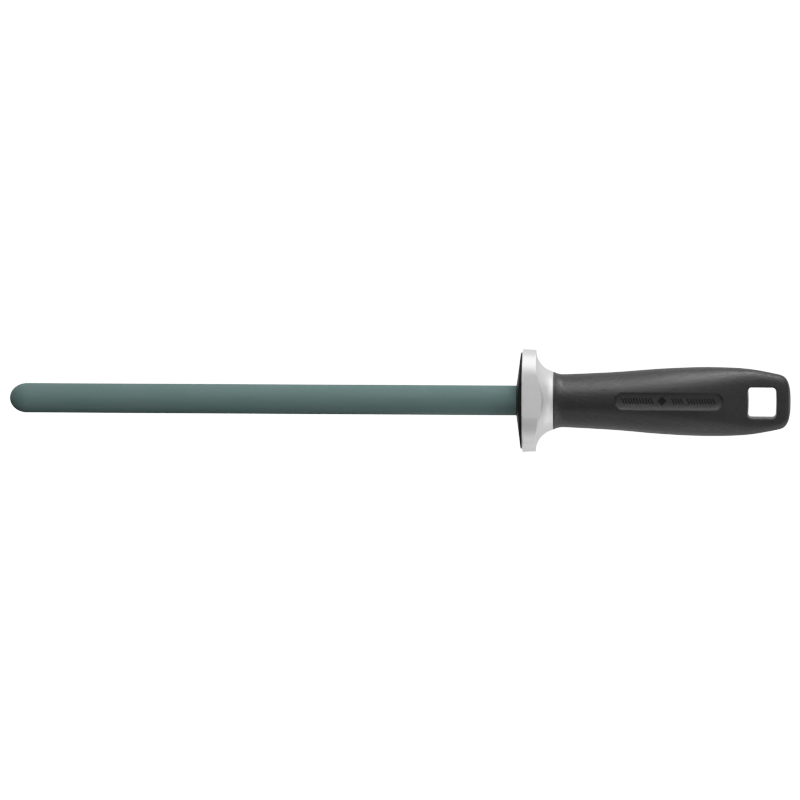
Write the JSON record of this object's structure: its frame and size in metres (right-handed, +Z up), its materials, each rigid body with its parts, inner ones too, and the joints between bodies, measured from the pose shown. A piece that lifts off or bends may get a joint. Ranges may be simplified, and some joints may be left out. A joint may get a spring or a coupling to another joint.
{
  "type": "knife sharpening rod",
  "caption": "Ceramic knife-sharpening rod with a domed tip, an oval satin metal guard with a black front cover, and a black grip with a square hanging hole.",
  "frame": {"origin": "middle of the whole length, on the tool's middle plane, at the height of the guard's flat lower side, which is what the tool rests on", "axes": "+X along the tool from the rod's tip to the grip's end, +Z up out of the grip's broad face, +Y across the guard"},
  "size_m": [0.354, 0.0466, 0.0326],
  "materials": {
    "rod_ceramic": "matt green-grey, finely ground",
    "epoxy": "cured adhesive",
    "cushion_rubber": "matt",
    "core_nylon": "glass-filled, matt",
    "guard_metal": "satin blasted",
    "washer_steel": "plain spring steel",
    "cover_plastic": "black, satin",
    "seal_rubber": "matt",
    "grip_plastic": "black, fine moulded grain"
  },
  "bodies": {
    "root": {"ceramic_rod": "rod_ceramic", "rod_bond": "epoxy", "rod_end_cushion": "cushion_rubber", "handle_core": "core_nylon", "guard_shell": "guard_metal", "guard_washer": "washer_steel", "front_cover": "cover_plastic", "rod_seal": "seal_rubber", "grip": "grip_plastic"}
  },
  "joints": []
}
